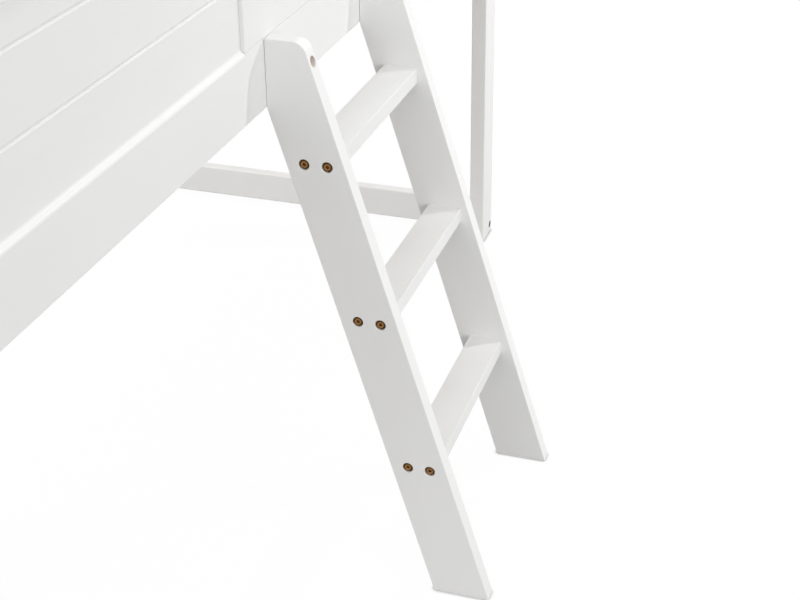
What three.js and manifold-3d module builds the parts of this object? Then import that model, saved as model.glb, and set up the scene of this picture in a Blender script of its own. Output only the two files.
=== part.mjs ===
// A mid-high loft bed in white lacquered wood, with a slanted three-tread ladder bolted to its front.
// Millimetres, +Z up. X runs along the bed, and the ladder stands on the -Y side.

import * as THREE from "three";
import { mergeVertices } from "three/addons/utils/BufferGeometryUtils.js";
import Module from "manifold-3d";

const wasm = await Module();
wasm.setup();

// Sleeping space
const mattressLength = 2000;
const mattressWidth = 900;
const mattressLengthPlay = 32;
const mattressWidthPlay = 4;

// Boards of the bed frame
const railUnderside = 770;
const railHeight = 99;
const railThickness = 24;
const topRailHeight = 70;
const legWidth = 70;
const legDepth = 32;
const legChamfer = 2;
const floorRailHeight = 68;
const floorRailLift = 10;
const edgeRadius = 2.5;

// Grooved guard panels, held by a tongue in the rails above and below
const guardPanelHeight = 231;
const panelRecess = 6;
const panelBoardPitch = 97.5;
const panelGrooveWidth = 5.5;
const panelGrooveDepth = 2.8;
const tongueThickness = 8;
const tongueDepth = 8;
const tonguePlay = 1;

// Entry board behind the ladder, with a dip to climb through
const entryBoardMargin = 60.5;
const entryOpeningWidth = 400;
const entrySillHeight = 97.5;
const entryDipRadius = 50;
const entryHornRadius = 12;
const battenWidth = 60;
const battenThickness = 14;
const battenTopInset = 10;

// Slatted base
const ledgerHeight = 34;
const ledgerWidth = 30;
const slatCount = 12;
const slatWidth = 95;
const slatThickness = 17;
const slatEndPlay = 3;
const slatEdgeMargin = 12;

// Ladder
const ladderWidth = 407;
const ladderAngle = 17.23;
const stringerThickness = 25;
const stringerDepth = 82.5;
const stringerTopRadius = 21;
const ladderEdgeRadius = 2;
const treadThickness = 25;
const treadDepth = 55;
const treadEdgeRadius = 2;
const treadCount = 3;
const firstTreadHeight = 218;
const topTreadDrop = 178;

// Bolts, all with a round head and a hexagon socket, sunk in a round hole
const boltHoleDiameter = 16;
const boltHeadDiameter = 14.5;
const boltHeadHeight = 4;
const boltShankDiameter = 6;
const socketSize = 5;
const socketDepth = 2.5;
const treadBoltSpacing = 34;
const treadBoltLength = 55;
const treadBoltRecess = 1.5;
const ladderBoltDrop = 30;
const ladderBoltRecess = 22;
const ladderBoltReach = 16;
const legBoltHeight = 18;
const legBoltRecess = 8;
const legBoltReach = 40;

// Clearance between pieces that touch
const joint = 0.3;

// Fineness of round forms: half the steps in a quarter turn, and the sides of a bolt or hole
const edgeSteps = 1;
const curveSteps = 4;
const roundSides = 16;

// Worked out from the sizes above
const innerLength = mattressLength + mattressLengthPlay;
const bedLength = innerLength + 2 * railThickness;
const bedWidth = mattressWidth + mattressWidthPlay + 2 * (railThickness + battenThickness);
const sideSpan = bedLength - 2 * legWidth;
const endSpan = bedWidth - 2 * legDepth;
const railTop = railUnderside + railHeight;
const topRailUnderside = railTop + guardPanelHeight;
const bedHeight = topRailUnderside + topRailHeight;
const slope = Math.tan(THREE.MathUtils.degToRad(ladderAngle));
const stringerRun = stringerDepth / Math.cos(THREE.MathUtils.degToRad(ladderAngle));
const ladderReach = railUnderside * slope + stringerRun;
const entryBoardWidth = ladderWidth + 2 * entryBoardMargin;
const guardSpan = (sideSpan - entryBoardWidth) / 2;
const tongueCentre = (panelRecess + railThickness) / 2;
const slatTop = railUnderside + ledgerHeight + joint + slatThickness;

const whiteLacquer = () => new THREE.MeshStandardMaterial({ color: 0xf1f0ed, roughness: 0.38 });
const bareWood = () => new THREE.MeshStandardMaterial({ color: 0xd9bd8e, roughness: 0.7 });
const bronze = () => new THREE.MeshStandardMaterial({ color: 0x9a6f3f, roughness: 0.4, metalness: 1 });

// Axis frames that lay a profile drawn in x and y, extruded along z, into the bed's axes
const X = new THREE.Vector3(1, 0, 0);
const Y = new THREE.Vector3(0, 1, 0);
const Z = new THREE.Vector3(0, 0, 1);
const profileAlongX = new THREE.Matrix4().makeBasis(Y, Z, X);
const outlineThroughY = new THREE.Matrix4().makeBasis(X, Z, Y.clone().negate());

function add(group, name, geometry, material, place = [0, 0, 0]) {
  const mesh = new THREE.Mesh(geometry, material);
  mesh.name = name;
  mesh.position.set(...place);
  group.add(mesh);
  return mesh;
}

// Boolean work on closed geometries
function solid(geometry) {
  const bare = geometry.clone();
  bare.deleteAttribute("normal");
  bare.deleteAttribute("uv");
  const merged = mergeVertices(bare, 1e-4);
  return new wasm.Manifold(new wasm.Mesh({
    numProp: 3,
    vertProperties: new Float32Array(merged.attributes.position.array),
    triVerts: new Uint32Array(merged.index.array),
  }));
}

function geometryOf(manifold) {
  const mesh = manifold.getMesh();
  const geometry = new THREE.BufferGeometry();
  geometry.setAttribute("position", new THREE.BufferAttribute(mesh.vertProperties, 3));
  geometry.setIndex(new THREE.BufferAttribute(mesh.triVerts, 1));
  geometry.computeVertexNormals();
  return geometry;
}

const cut = (body, tools) => geometryOf(tools.reduce((rest, tool) => rest.subtract(solid(tool)), solid(body)));
const join = (body, extras) => geometryOf(extras.reduce((rest, extra) => rest.add(solid(extra)), solid(body)));

// A rectangle from the origin to (width, height) with round corners, and a groove in its top or bottom edge
function boardProfile(width, height, radius, { topGroove, bottomGroove } = {}) {
  const shape = new THREE.Shape();
  const half = tongueThickness / 2 + joint;
  const deep = tongueDepth + tonguePlay;
  shape.moveTo(radius, 0);
  if (bottomGroove) {
    shape.lineTo(tongueCentre - half, 0).lineTo(tongueCentre - half, deep);
    shape.lineTo(tongueCentre + half, deep).lineTo(tongueCentre + half, 0);
  }
  shape.lineTo(width - radius, 0).absarc(width - radius, radius, radius, -Math.PI / 2, 0);
  shape.lineTo(width, height - radius).absarc(width - radius, height - radius, radius, 0, Math.PI / 2);
  if (topGroove) {
    shape.lineTo(tongueCentre + half, height).lineTo(tongueCentre + half, height - deep);
    shape.lineTo(tongueCentre - half, height - deep).lineTo(tongueCentre - half, height);
  }
  shape.lineTo(radius, height).absarc(radius, height - radius, radius, Math.PI / 2, Math.PI);
  shape.lineTo(0, radius).absarc(radius, radius, radius, Math.PI, 1.5 * Math.PI);
  return shape;
}

// A board along X whose profile lies in Y and Z, with its ends at plus and minus half its length
function boardAlongX(profile, length) {
  const geometry = new THREE.ExtrudeGeometry(profile, {
    depth: length, bevelEnabled: false, curveSegments: edgeSteps,
  });
  return geometry.translate(0, 0, -length / 2).applyMatrix4(profileAlongX);
}

function plainBoard(length, thickness, height, radius = edgeRadius) {
  return boardAlongX(boardProfile(thickness, height, radius), length);
}

// The profile of a guard panel: tongues above and below, and V grooves on the outer face
function panelProfile() {
  const shape = new THREE.Shape();
  const top = guardPanelHeight - joint;
  const outer = tongueCentre - tongueThickness / 2;
  const inner = tongueCentre + tongueThickness / 2;
  shape.moveTo(panelRecess, joint).lineTo(outer, joint).lineTo(outer, -tongueDepth);
  shape.lineTo(inner, -tongueDepth).lineTo(inner, joint).lineTo(railThickness, joint);
  shape.lineTo(railThickness, top).lineTo(inner, top).lineTo(inner, guardPanelHeight + tongueDepth);
  shape.lineTo(outer, guardPanelHeight + tongueDepth).lineTo(outer, top).lineTo(panelRecess, top);
  const grooves = Math.floor((guardPanelHeight - panelGrooveWidth) / panelBoardPitch);
  for (let groove = grooves; groove > 0; groove -= 1) {
    const centre = groove * panelBoardPitch;
    shape.lineTo(panelRecess, centre + panelGrooveWidth / 2);
    shape.lineTo(panelRecess + panelGrooveDepth, centre);
    shape.lineTo(panelRecess, centre - panelGrooveWidth / 2);
  }
  return shape;
}

// Bolts. A bolt is drawn along Z: its head's flat end is at z = 0, and its shank points down to -length.
function hexagon(size) {
  const shape = new THREE.Shape();
  for (let corner = 0; corner < 6; corner += 1) {
    const angle = (corner * Math.PI) / 3;
    const reach = size / Math.sqrt(3);
    const place = [reach * Math.cos(angle), reach * Math.sin(angle)];
    if (corner === 0) shape.moveTo(...place);
    else shape.lineTo(...place);
  }
  return shape;
}

function cylinderAlongZ(diameter, low, high) {
  const geometry = new THREE.CylinderGeometry(diameter / 2, diameter / 2, high - low, roundSides);
  return geometry.rotateX(Math.PI / 2).translate(0, 0, (low + high) / 2);
}

function boltGeometry(length) {
  const headRadius = boltHeadDiameter / 2;
  const shankRadius = boltShankDiameter / 2;
  const chamfer = boltHeadHeight / 8;
  const half = [
    [0, -length], [shankRadius, -length], [shankRadius, -boltHeadHeight], [headRadius, -boltHeadHeight],
    [headRadius, -chamfer], [headRadius - chamfer, 0], [0, 0],
  ].map(([radius, height]) => new THREE.Vector2(radius, height));
  const body = new THREE.LatheGeometry(half, roundSides).rotateX(Math.PI / 2);
  const socket = new THREE.ExtrudeGeometry(hexagon(socketSize), { depth: 2 * socketDepth, bevelEnabled: false });
  return cut(body, [socket.translate(0, 0, -socketDepth)]);
}

// The hole for a bolt: a wide part down to the head's seat, and a narrow part for the shank
function boltHole(recess, length) {
  const seat = -recess - boltHeadHeight - joint;
  const wide = cylinderAlongZ(boltHoleDiameter, seat, boltHoleDiameter);
  const narrow = cylinderAlongZ(boltShankDiameter + 2 * joint, -recess - length - tonguePlay, seat / 2);
  return [wide, narrow];
}

// Turns a geometry drawn along +Z so that +Z points along the given axis, and moves it to a place
function aim(geometry, axis, place) {
  const turn = new THREE.Quaternion().setFromUnitVectors(Z, axis);
  return geometry.clone().applyQuaternion(turn).translate(...place);
}

const towards = { left: X.clone().negate(), right: X, front: Y.clone().negate(), back: Y };

// A leg stands on its end with its wide face to the front. Its bolt holds the floor rail's end.
const legBoltLength = legDepth - legBoltRecess + legBoltReach;

function legGeometry(side, face) {
  const profile = boardProfile(legWidth - 2 * legChamfer, legDepth - 2 * legChamfer, edgeRadius);
  const blank = new THREE.ExtrudeGeometry(profile, {
    depth: bedHeight - 2 * legChamfer, bevelThickness: legChamfer, bevelSize: legChamfer, bevelSegments: 1,
    curveSegments: edgeSteps,
  });
  blank.translate(legChamfer - legWidth / 2, legChamfer - legDepth / 2, legChamfer);
  const place = [side * (legWidth - railThickness) / 2, face.y * legDepth / 2, legBoltHeight];
  return cut(blank, boltHole(legBoltRecess, legBoltLength).map((tool) => aim(tool, face, place)));
}

function addLegs(bed) {
  for (const [row, face, y] of [["front", towards.front, legDepth / 2], ["back", towards.back, bedWidth - legDepth / 2]]) {
    for (const [hand, side] of [["left", -1], ["right", 1]]) {
      const x = side * (bedLength - legWidth) / 2;
      add(bed, `${row}_${hand}_leg`, legGeometry(side, face), whiteLacquer(), [x, y, 0]);
      const bolt = aim(boltGeometry(legBoltLength), face, [0, -face.y * legBoltRecess, 0]);
      const place = [side * (bedLength - railThickness) / 2, y + face.y * legDepth / 2, legBoltHeight];
      add(bed, `${row}_${hand}_leg_bolt`, bolt, bronze(), place);
    }
  }
}

// A side of the bed, drawn with its outer face at y = 0, looking towards -Y, and its middle at x = 0
const railProfile = () => boardProfile(railThickness, railHeight, edgeRadius, { topGroove: true });
const topRailProfile = () => boardProfile(railThickness, topRailHeight, edgeRadius, { bottomGroove: true });

function addRail(group, name, span, holes = []) {
  const rail = boardAlongX(railProfile(), span - 2 * joint);
  add(group, name, holes.length ? cut(rail, holes) : rail, whiteLacquer(), [0, 0, railUnderside]);
}

function addGuard(group, name, span, x = 0) {
  const panel = boardAlongX(panelProfile(), span - 2 * joint);
  add(group, `${name}_panel`, panel, whiteLacquer(), [x, 0, railTop]);
  const rail = boardAlongX(topRailProfile(), span - 2 * joint);
  add(group, `${name}_top_rail`, rail, whiteLacquer(), [x, 0, topRailUnderside]);
}

function addLedger(group, name) {
  const ledger = plainBoard(sideSpan - 2 * joint, ledgerWidth, ledgerHeight);
  add(group, name, ledger, whiteLacquer(), [0, railThickness + joint, railUnderside]);
}

// The entry board fills the guard behind the ladder. Its top edge dips between two horns.
function entryBoardGeometry() {
  const half = entryBoardWidth / 2;
  const dip = entryOpeningWidth / 2;
  const top = guardPanelHeight + topRailHeight;
  const horn = entryHornRadius;
  const turn = entryDipRadius;
  const shape = new THREE.Shape();
  shape.moveTo(-half, joint).lineTo(half, joint).lineTo(half, top);
  shape.lineTo(dip + horn, top).absarc(dip + horn, top - horn, horn, Math.PI / 2, Math.PI);
  shape.lineTo(dip, entrySillHeight + turn);
  shape.absarc(dip - turn, entrySillHeight + turn, turn, 0, -Math.PI / 2, true);
  shape.lineTo(turn - dip, entrySillHeight);
  shape.absarc(turn - dip, entrySillHeight + turn, turn, -Math.PI / 2, -Math.PI, true);
  shape.lineTo(-dip, top - horn).absarc(-dip - horn, top - horn, horn, 0, Math.PI / 2);
  shape.lineTo(-half, top);
  const board = new THREE.ExtrudeGeometry(shape, {
    depth: railThickness, bevelEnabled: false, curveSegments: curveSteps,
  });
  board.applyMatrix4(outlineThroughY).translate(0, railThickness, 0);
  const tongue = new THREE.BoxGeometry(entryBoardWidth, tongueThickness, 2 * tongueDepth);
  return join(board, [tongue.translate(0, tongueCentre, 0)]);
}

function addFrontSide(bed) {
  const reach = ladderBoltReach + tonguePlay;
  addRail(bed, "front_rail", sideSpan, [-1, 1].map((side) => (
    aim(cylinderAlongZ(boltShankDiameter + 2 * joint, -reach, reach), towards.front,
      [side * stringerCentre, 0, ladderBoltHeight - railUnderside]))));
  addLedger(bed, "front_ledger");
  for (const [hand, side] of [["left", -1], ["right", 1]]) {
    const x = side * (sideSpan - guardSpan) / 2;
    addGuard(bed, `front_${hand}_guard`, guardSpan, x);
  }
  add(bed, "entry_board", entryBoardGeometry(), whiteLacquer(), [0, 0, railTop]);
  const low = slatTop + slatThickness / 2;
  const battenHeight = bedHeight - battenTopInset - low;
  for (const [hand, side] of [["left", -1], ["right", 1]]) {
    const batten = plainBoard(battenWidth, battenThickness, battenHeight);
    const x = side * entryBoardWidth / 2;
    add(bed, `entry_${hand}_batten`, batten, whiteLacquer(), [x, railThickness + joint, low]);
  }
}

function addBackSide(bed) {
  const back = new THREE.Group();
  back.rotation.z = Math.PI;
  back.position.y = bedWidth;
  addRail(back, "back_rail", sideSpan);
  addLedger(back, "back_ledger");
  addGuard(back, "back_guard", sideSpan);
  bed.add(back);
}

function addEnd(bed, hand, side) {
  const end = new THREE.Group();
  end.rotation.z = side * Math.PI / 2;
  end.position.set(side * bedLength / 2, bedWidth / 2, 0);
  addRail(end, `${hand}_end_rail`, endSpan);
  addGuard(end, `${hand}_end`, endSpan);
  const reach = legBoltReach + tonguePlay;
  const bar = plainBoard(endSpan - 2 * joint, railThickness, floorRailHeight);
  const holes = [-1, 1].map((way) => cylinderAlongZ(boltShankDiameter + 2 * joint, -reach, reach)
    .rotateY(Math.PI / 2).translate(way * endSpan / 2, railThickness / 2, legBoltHeight - floorRailLift));
  add(end, `${hand}_floor_rail`, cut(bar, holes), whiteLacquer(), [0, 0, floorRailLift]);
  bed.add(end);
}

// Slats lie across the two ledgers, evenly spaced between the legs
function addSlats(bed) {
  const length = bedWidth - 2 * (railThickness + slatEndPlay);
  const room = sideSpan - 2 * slatEdgeMargin - slatWidth;
  const slat = plainBoard(length, slatWidth, slatThickness).rotateZ(Math.PI / 2).translate(slatWidth / 2, 0, 0);
  for (let index = 0; index < slatCount; index += 1) {
    const x = -room / 2 + (room * index) / (slatCount - 1);
    const number = String(index + 1).padStart(2, "0");
    add(bed, `slat_${number}`, slat, bareWood(), [x, bedWidth / 2, slatTop - slatThickness]);
  }
}

// The ladder, drawn with the front rail's face at y = 0 and its own middle at x = 0
const treadHeights = Array.from({ length: treadCount }, (_, index) => {
  const top = railTop - topTreadDrop;
  return firstTreadHeight + ((top - firstTreadHeight) * index) / (treadCount - 1);
});
const stringerMiddle = (height) => -(railUnderside - height) * slope - stringerRun / 2;
const ladderBoltHeight = railTop - ladderBoltDrop;
const ladderBoltFace = stringerMiddle(ladderBoltHeight) - stringerRun / 2;
const ladderBoltLength = -ladderBoltFace - ladderBoltRecess + ladderBoltReach;
const stringerCentre = (ladderWidth - stringerThickness) / 2;

// The side outline of a stringer: a level foot, a slanted board, a level top and an upright back cut
function stringerOutline() {
  const frontTop = stringerMiddle(railTop) - stringerRun / 2;
  const lean = THREE.MathUtils.degToRad(ladderAngle);
  const radius = stringerTopRadius;
  const tangent = radius * Math.tan((Math.PI / 2 - lean) / 2);
  const shape = new THREE.Shape();
  shape.moveTo(-joint, railTop).lineTo(frontTop + tangent, railTop);
  shape.absarc(frontTop + tangent, railTop - radius, radius, Math.PI / 2, Math.PI - lean);
  shape.lineTo(-ladderReach, 0).lineTo(-ladderReach + stringerRun, 0).lineTo(-joint, railUnderside - joint / slope);
  return shape;
}

function stringerGeometry(side) {
  const round = ladderEdgeRadius;
  const blank = new THREE.ExtrudeGeometry(stringerOutline(), {
    depth: stringerThickness - 2 * round, bevelThickness: round, bevelSize: round, bevelOffset: -round,
    bevelSegments: 1, curveSegments: curveSteps,
  });
  blank.translate(0, 0, round - stringerThickness / 2).applyMatrix4(profileAlongX);
  const outward = side < 0 ? towards.left : towards.right;
  const holes = boltHole(ladderBoltRecess, ladderBoltLength)
    .map((tool) => aim(tool, towards.front, [0, ladderBoltFace, ladderBoltHeight]));
  for (const [y, z] of treadBoltPlaces()) {
    holes.push(...boltHole(treadBoltRecess, treadBoltLength)
      .map((tool) => aim(tool, outward, [side * stringerThickness / 2, y, z])));
  }
  return cut(blank, holes);
}

function treadBoltPlaces() {
  return treadHeights.flatMap((height) => [-1, 1].map((way) => (
    [stringerMiddle(height) + way * treadBoltSpacing / 2, height])));
}

function treadGeometry(length) {
  const profile = boardProfile(treadDepth, treadThickness, treadEdgeRadius);
  const board = boardAlongX(profile, length).translate(0, -treadDepth / 2, -treadThickness / 2);
  const reach = treadBoltRecess + treadBoltLength - stringerThickness + tonguePlay;
  const holes = [-1, 1].flatMap((end) => [-1, 1].map((way) => (
    cylinderAlongZ(boltShankDiameter + 2 * joint, -reach, reach).rotateY(Math.PI / 2)
      .translate(end * length / 2, way * treadBoltSpacing / 2, 0))));
  return cut(board, holes);
}

function addLadder(bed) {
  const ladder = new THREE.Group();
  const treadLength = ladderWidth - 2 * (stringerThickness + joint);
  treadHeights.forEach((height, index) => {
    const place = [0, stringerMiddle(height), height];
    add(ladder, `tread_${index + 1}`, treadGeometry(treadLength), whiteLacquer(), place);
  });
  for (const [hand, side] of [["left", -1], ["right", 1]]) {
    const outward = side < 0 ? towards.left : towards.right;
    add(ladder, `${hand}_stringer`, stringerGeometry(side), whiteLacquer(), [side * stringerCentre, 0, 0]);
    const mountBolt = aim(boltGeometry(ladderBoltLength), towards.front, [0, ladderBoltRecess, 0]);
    const mountPlace = [side * stringerCentre, ladderBoltFace, ladderBoltHeight];
    add(ladder, `${hand}_ladder_bolt`, mountBolt, bronze(), mountPlace);
    const treadBolt = aim(boltGeometry(treadBoltLength), outward, [-side * treadBoltRecess, 0, 0]);
    treadBoltPlaces().forEach(([y, z], index) => {
      const name = `tread_${Math.floor(index / 2) + 1}_${hand}_${index % 2 ? "back" : "front"}_bolt`;
      add(ladder, name, treadBolt, bronze(), [side * ladderWidth / 2, y, z]);
    });
  }
  bed.add(ladder);
}

const bed = new THREE.Group();
bed.position.y = -(bedWidth - ladderReach) / 2;
addLegs(bed);
addFrontSide(bed);
addBackSide(bed);
addEnd(bed, "left", -1);
addEnd(bed, "right", 1);
addSlats(bed);
addLadder(bed);

export default bed;
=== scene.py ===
"""A mid-high loft bed with a slanted three-tread ladder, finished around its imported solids.

The frame gives the place and size of every board and bolt. Each visible piece is a surface worked out with
numpy, in metres, with +X along the bed, +Y from the ladder to the back and +Z up.
"""

import math
from collections import namedtuple
from itertools import product

import bmesh
import bpy
import numpy as np
from mathutils import Matrix, Vector


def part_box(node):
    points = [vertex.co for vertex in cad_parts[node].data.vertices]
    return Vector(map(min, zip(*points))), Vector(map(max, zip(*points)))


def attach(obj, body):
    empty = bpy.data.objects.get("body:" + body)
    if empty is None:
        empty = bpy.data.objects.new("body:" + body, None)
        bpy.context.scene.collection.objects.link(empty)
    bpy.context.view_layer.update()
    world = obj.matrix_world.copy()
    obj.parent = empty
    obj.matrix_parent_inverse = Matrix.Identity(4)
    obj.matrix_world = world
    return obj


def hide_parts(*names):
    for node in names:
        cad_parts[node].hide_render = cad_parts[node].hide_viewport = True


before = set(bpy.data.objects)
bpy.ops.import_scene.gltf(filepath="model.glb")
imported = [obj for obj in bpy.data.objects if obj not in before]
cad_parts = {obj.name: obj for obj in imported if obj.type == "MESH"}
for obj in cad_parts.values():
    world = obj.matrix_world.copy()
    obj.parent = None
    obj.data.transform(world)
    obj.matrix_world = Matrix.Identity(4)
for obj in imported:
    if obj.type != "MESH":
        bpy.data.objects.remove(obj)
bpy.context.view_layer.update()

bl_info = {
    "name": "Loft bed",
    "version": (1, 0, 0),
    "blender": (4, 5, 0),
    "location": "View3D > Sidebar > Loft bed",
    "description": "Makes a white lacquered loft bed with its ladder, fixings and a plain studio",
    "category": "Add Mesh",
}

MM = 0.001
QUARTER = math.pi / 2
WHITE = (1, 1, 1, 1)

# The places of the bed's parts, which their names in the frame are made from
ROWS = ("front", "back")
HANDS = ("left", "right")
TREADS = (1, 2, 3)
SLATS = [f"slat_{number:02d}" for number in range(1, 13)]

# Fineness of the meshes, and the largest angle that is still shaded as one smooth surface
EDGE_STEPS = 5
CURVE_STEPS = 24
ROUND_SIDES = 48
SMALL_SIDES = 16
SMOOTH_ANGLE = math.radians(30)
SAME_PLACE = 1e-6

# An outline's corners are this much rounder than its ends' edges, so that the drawn-in ends keep their arcs
ROUNDER = 1.02

# For each axis that a board may run along, the two axes that its outline is drawn in, in right-handed order
ALONG = {"X": 0, "Y": 1, "Z": 2}
ACROSS = {"X": [1, 2], "Y": [2, 0], "Z": [0, 1]}

# Directions that a fixing's head may face, and the axis that each side's rails run along
OUTWARD = {"left": (-1, 0, 0), "right": (1, 0, 0), "front": (0, -1, 0), "back": (0, 1, 0), "up": (0, 0, 1)}
OPPOSITE = {"left": "right", "right": "left", "front": "back", "back": "front"}
RAIL_AXIS = {"left": "Y", "right": "Y", "front": "X", "back": "X"}

# The guard's fields: the start of the names of each one's panel and top rail, and the side it lies on
FIELDS = {
    "front_left_guard": "front", "front_right_guard": "front", "back_guard": "back", "left_end": "left",
    "right_end": "right",
}

# A fixing sits at a mouth in a wood's face, faces one way and reaches into the named boards
Fixing = namedtuple("Fixing", "name mouth way sunk length boards")


def length(name, description, millimetres):
    """A length for the panel, written in millimetres and held in metres."""
    return bpy.props.FloatProperty(
        name=name, description=description, default=millimetres * MM, min=0.0,
        unit="LENGTH", subtype="DISTANCE", precision=4)


def place(name, description, x, y, z):
    """A place in the room for the panel, in metres."""
    return bpy.props.FloatVectorProperty(
        name=name, description=description, default=(x, y, z), size=3, unit="LENGTH", subtype="TRANSLATION")


def colour(name, description, red, green, blue):
    """A linear colour for the panel."""
    return bpy.props.FloatVectorProperty(
        name=name, description=description, default=(red, green, blue), min=0.0, max=1.0, size=3,
        subtype="COLOR")


def share(name, description, value, highest=1.0):
    """A plain number for the panel, such as a roughness or a light level."""
    return bpy.props.FloatProperty(
        name=name, description=description, default=value, min=0.0, max=highest, subtype="FACTOR")


def degrees(name, description, value):
    """An angle for the panel, written in degrees and held in radians."""
    return bpy.props.FloatProperty(
        name=name, description=description, default=math.radians(value), unit="ROTATION", subtype="ANGLE")


class LoftBedBoards(bpy.types.PropertyGroup):
    """Shapes of the boards that their boxes in the frame don't give."""

    rail_edge: length("Rail edge", "Radius of the rails' upper long edges", 3.5)
    slope_on_rail: length("Slope on rail", "Height of the slope to a guard panel on its rail", 2.3)
    slope_on_panel: length("Slope on panel", "Height of that slope on the panel", 2.3)
    slope_round: length("Slope round", "Radius at both ends of that slope", 7.4)
    rail_foot: length("Rail foot", "Radius of the rails' lower long edges", 1.5)
    leg_edge: length("Leg edge", "Radius of the legs' long edges", 2.5)
    leg_end: length("Leg end", "Radius of a leg's edges at its foot and top", 2.0)
    ladder_edge: length("Ladder edge", "Radius of the stringers' edges", 1.1)
    tread_edge: length("Tread edge", "Radius of the treads' long edges", 0.5)
    tread_end: length("Tread end", "Radius where a tread's end meets its faces", 0.3)
    batten_edge: length("Batten edge", "Radius of the edges of ledgers and battens", 2.5)
    slat_edge: length("Slat edge", "Radius of the edges of the slats", 2.0)
    sawn_end: length("Sawn end", "Radius where a board's end meets its faces", 0.8)
    groove_pitch: length("Groove pitch", "Distance between a guard panel's V grooves", 92.7)
    groove_width: length("Groove width", "Width of a V groove", 5.7)
    groove_depth: length("Groove depth", "Depth of a V groove", 2.2)
    groove_lean: share("Groove lean", "Share of a groove's width above its bottom", 0.7)
    groove_lip: length("Groove lip", "Radius of the lips of a V groove", 0.5)
    groove_round: length("Groove round", "Radius of the bottom of a V groove", 0.2)
    panel_end: length("Panel end", "Radius where a guard panel's end meets its faces", 0.36)
    tongue_middle: length("Tongue middle", "Depth of the tongues behind the rails' faces", 15.0)
    tongue_thickness: length("Tongue thickness", "Thickness of the tongues in the rails", 8.0)
    tongue_depth: length("Tongue depth", "How far a tongue reaches into a rail", 8.0)
    tongue_play: length("Tongue play", "Room below a tongue in its groove", 1.0)
    tongue_slack: length("Tongue slack", "Room beside a tongue in its groove", 0.3)
    dip_width: length("Dip width", "Width of the opening in the entry board", 400.0)
    sill_height: length("Sill height", "Height of the dip's sill over the rail", 97.5)
    dip_radius: length("Dip radius", "Radius of the lower corners of the dip", 50.0)
    horn_radius: length("Horn radius", "Radius of the upper corners of the dip", 12.0)
    dip_edge: length("Dip edge", "Radius of the entry board's top edge and its dip's", 2.5)
    joint_edge: length("Joint edge", "Radius of the entry board's edges at other boards", 1.5)
    rail_seam: length("Rail seam", "Radius of the rail's edge under the entry board", 0.3)
    ladder_angle: degrees("Ladder angle", "How far the ladder leans from upright", 17.23)
    ladder_top: length("Ladder top radius", "Radius of a stringer's top front corner", 21.0)


class LoftBedFixings(bpy.types.PropertyGroup):
    """Sizes of the bolts, caps, barrel nuts and screws."""

    clearance: length("Clearance", "Room round a fixing in its hole", 0.3)
    rim: length("Hole rim", "Width of the small chamfer round a hole", 0.8)
    hole: length("Bolt hole", "Diameter of the hole round a bolt head", 16.0)
    head: length("Bolt head", "Diameter of a bolt head", 14.5)
    head_height: length("Bolt head height", "Height of a bolt head", 4.0)
    head_edge: length("Bolt head edge", "Radius of a bolt head's edge", 2.6)
    shank: length("Bolt shank", "Diameter of a bolt's shank", 6.0)
    socket: length("Socket", "Size across the flats of the hexagon socket", 5.0)
    socket_depth: length("Socket depth", "Depth of the hexagon socket", 2.5)
    leg_bolt_sunk: length("Leg bolt recess", "Depth of a bolt head in a leg's face", 8.0)
    tread_bolt_sunk: length("Tread bolt recess", "Depth of a bolt head in a stringer's face", 1.5)
    ladder_bolt_sunk: length("Ladder bolt recess", "Depth of a bolt head in a stringer's edge", 22.0)
    cap: length("Cap", "Diameter of the caps over the side rails' bolts", 15.0)
    cap_depth: length("Cap depth", "Depth of the hole under a cap", 6.0)
    cap_crown: length("Cap crown", "Height of a cap's middle over its rim", 0.8)
    cap_edge: length("Cap edge", "Radius of a cap's edge", 0.4)
    cap_spacing: length("Cap spacing", "Distance between the bolts at a side rail's end", 50.0)
    top_offset: length("Top bolt offset", "Distance of a top rail's bolts from its middle", 14.0)
    nut: length("Barrel nut", "Diameter of a barrel nut", 10.0)
    nut_depth: length("Barrel nut depth", "Depth of a barrel nut's hole", 14.0)
    nut_setback: length("Nut setback", "Distance of a barrel nut from its rail's end", 38.0)
    screw: length("Screw", "Diameter of a countersunk screw head", 7.5)
    screw_length: length("Screw length", "Depth of a screw in the first board", 12.0)
    screw_pitch: length("Screw pitch", "Greatest distance between a ledger's screws", 235.0)
    screw_setback: length("Screw setback", "Distance of the end screws from a board's end", 28.0)
    slat_screws: length("Slat screw spacing", "Distance between the screws at a slat's end", 48.0)
    batten_screws: share("Batten screws", "Share of a batten's width outside its screws", 0.22)


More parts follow.
